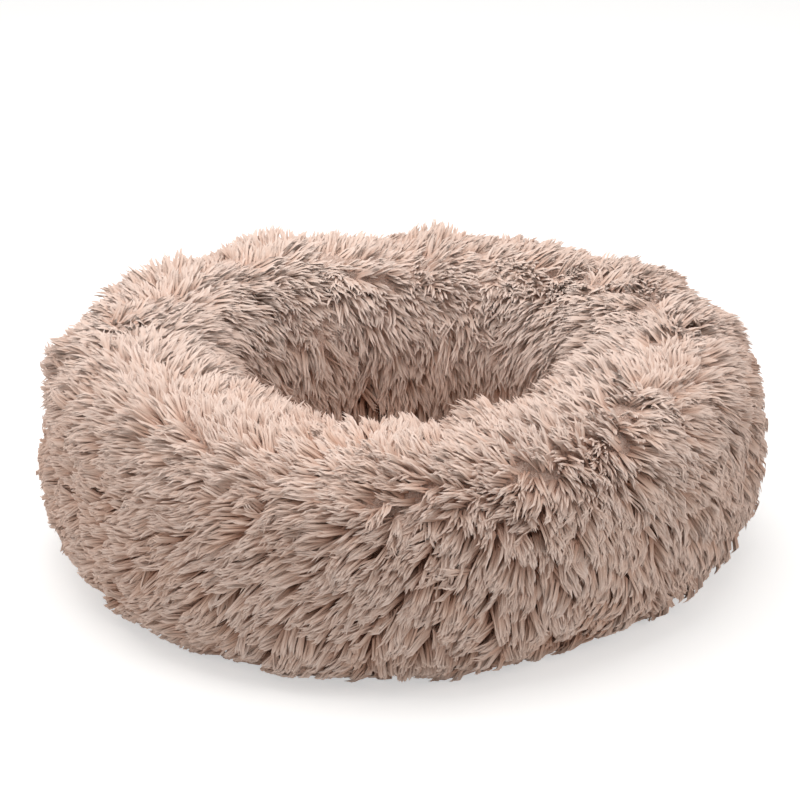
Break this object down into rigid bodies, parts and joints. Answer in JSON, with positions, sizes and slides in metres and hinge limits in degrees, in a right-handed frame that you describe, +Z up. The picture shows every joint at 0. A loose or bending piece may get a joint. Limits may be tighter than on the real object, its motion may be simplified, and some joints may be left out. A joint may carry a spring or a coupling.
{
  "type": "donut pet bed",
  "caption": "Round plush pet bed: a stuffed ring with a raised rim round a sunken padded nest, in a zip-off long-pile cover with a woven base.",
  "frame": {"origin": "on the floor, under the middle of the bed's box", "axes": "+Z up; the bed is seen from -Y; the zip runs along X, behind the middle of the base"},
  "size_m": [0.6234, 0.6041, 0.2177],
  "materials": {
    "plush": "long pile plush",
    "base_cloth": "plain weave",
    "binding_tape": "folded bias tape",
    "label_satin": "satin",
    "liner_cloth": "bonded non-woven",
    "fibre": "loose hollow fibre",
    "facing_cloth": "plain weave",
    "zip_tape": "herringbone tape",
    "zip_plastic": "moulded",
    "zip_stop": "plated",
    "zip_metal": "satin lacquer"
  },
  "bodies": {
    "root": {"outer_plush_front": "plush", "outer_plush_back": "plush", "inner_plush_front": "plush", "inner_plush_back": "plush", "nest_plush": "plush", "base_panel": "base_cloth", "base_binding": "binding_tape", "care_label": "label_satin", "ring_liner": "liner_cloth", "ring_fibre": "fibre", "pad_liner": "liner_cloth", "pad_fibre": "fibre", "zip_facing": "facing_cloth", "zip_tape_front": "zip_tape", "zip_tape_rear": "zip_tape", "zip_teeth_front": "zip_plastic", "zip_teeth_rear": "zip_plastic", "zip_top_stop_front": "zip_stop", "zip_top_stop_rear": "zip_stop", "zip_bottom_stop": "zip_stop"},
    "slider": {"zip_slider": "zip_metal"},
    "pull": {"zip_pull": "zip_metal"}
  },
  "joints": [
    {"name": "slider_run", "type": "slide", "parent": "root", "child": "slider", "axis": [-1, 0, 0], "range_m": [0, 0.308]},
    {"name": "pull_swing", "type": "hinge", "parent": "slider", "child": "pull", "pos_m": [0.154, 0.055, 0.0029], "axis": [0, -1, 0], "range_deg": [0, 160]}
  ]
}
